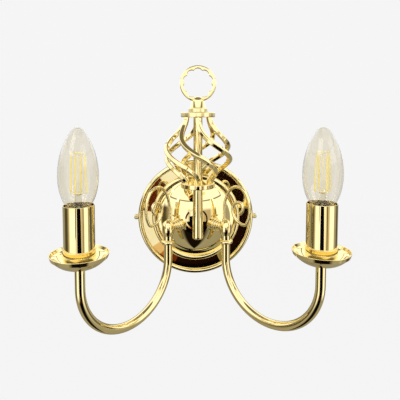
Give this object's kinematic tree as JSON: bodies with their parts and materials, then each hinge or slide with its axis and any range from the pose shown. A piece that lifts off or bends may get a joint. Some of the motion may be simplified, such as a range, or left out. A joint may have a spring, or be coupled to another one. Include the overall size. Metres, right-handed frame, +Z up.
{
  "type": "wall sconce",
  "caption": "Polished brass wall sconce with swept arms, candle sleeves, clear candle bulbs, a twisted cage stem and a scalloped ring finial on a domed round backplate.",
  "frame": {"origin": "centre of the backplate on the wall plane", "axes": "+Z up, the light stands out from the wall towards -Y, +X to the right seen from the room"},
  "size_m": [0.2672, 0.1336, 0.2622],
  "materials": {
    "polished_brass": "mirror polished",
    "zinc_steel": "zinc plated",
    "brass_contacts": "plain",
    "moulded_plastic": "moulded",
    "clear_glass": "clear",
    "filament_phosphor": "yellow coated",
    "nickel_cap": "nickel plated",
    "cable_sheath": "extruded"
  },
  "bodies": {
    "fitting": {"wall_bracket": "zinc_steel", "backplate": "polished_brass", "earth_screw": "brass_contacts", "terminal_block": "moulded_plastic", "terminal_screws": "brass_contacts", "terminal_block_screw": "brass_contacts", "stem": "polished_brass", "stem_spigot": "zinc_steel", "spigot_collar": "polished_brass", "spigot_washer": "zinc_steel", "spigot_nut": "zinc_steel", "cage_bottom_disc": "polished_brass", "cage_top_disc": "polished_brass", "cage_bar_1": "polished_brass", "cage_bar_2": "polished_brass", "cage_bar_3": "polished_brass", "cage_bar_4": "polished_brass", "cage_bar_5": "polished_brass", "cage_bar_6": "polished_brass", "finial_neck": "polished_brass", "finial_ring": "polished_brass", "left_elbow": "polished_brass", "left_elbow_nipple": "zinc_steel", "left_elbow_washer": "zinc_steel", "left_elbow_nut": "zinc_steel", "left_ferrule": "polished_brass", "left_arm_tube": "polished_brass", "left_scroll": "polished_brass", "left_pan": "polished_brass", "left_candle_cup": "polished_brass", "left_pan_nut": "zinc_steel", "left_lampholder": "moulded_plastic", "left_lampholder_contacts": "brass_contacts", "left_candle_sleeve": "polished_brass", "left_arm_cable": "cable_sheath", "right_elbow": "polished_brass", "right_elbow_nipple": "zinc_steel", "right_elbow_washer": "zinc_steel", "right_elbow_nut": "zinc_steel", "right_ferrule": "polished_brass", "right_arm_tube": "polished_brass", "right_scroll": "polished_brass", "right_pan": "polished_brass", "right_candle_cup": "polished_brass", "right_pan_nut": "zinc_steel", "right_lampholder": "moulded_plastic", "right_lampholder_contacts": "brass_contacts", "right_candle_sleeve": "polished_brass", "right_arm_cable": "cable_sheath"},
    "left_bulb": {"left_bulb_glass": "clear_glass", "left_bulb_cap": "nickel_cap", "left_bulb_stem": "clear_glass", "left_bulb_filaments": "filament_phosphor"},
    "left_screw": {"left_side_screw": "polished_brass"},
    "right_bulb": {"right_bulb_glass": "clear_glass", "right_bulb_cap": "nickel_cap", "right_bulb_stem": "clear_glass", "right_bulb_filaments": "filament_phosphor"},
    "right_screw": {"right_side_screw": "polished_brass"}
  },
  "joints": [
    {"name": "left_bulb_unscrew", "type": "slide", "parent": "fitting", "child": "left_bulb", "axis": [0, 0, 1], "range_m": [0, 0.045]},
    {"name": "left_screw_undo", "type": "slide", "parent": "fitting", "child": "left_screw", "axis": [-1, 0, 0], "range_m": [0, 0.009]},
    {"name": "right_bulb_unscrew", "type": "slide", "parent": "fitting", "child": "right_bulb", "axis": [0, 0, 1], "range_m": [0, 0.045]},
    {"name": "right_screw_undo", "type": "slide", "parent": "fitting", "child": "right_screw", "axis": [1, 0, 0], "range_m": [0, 0.009]}
  ]
}
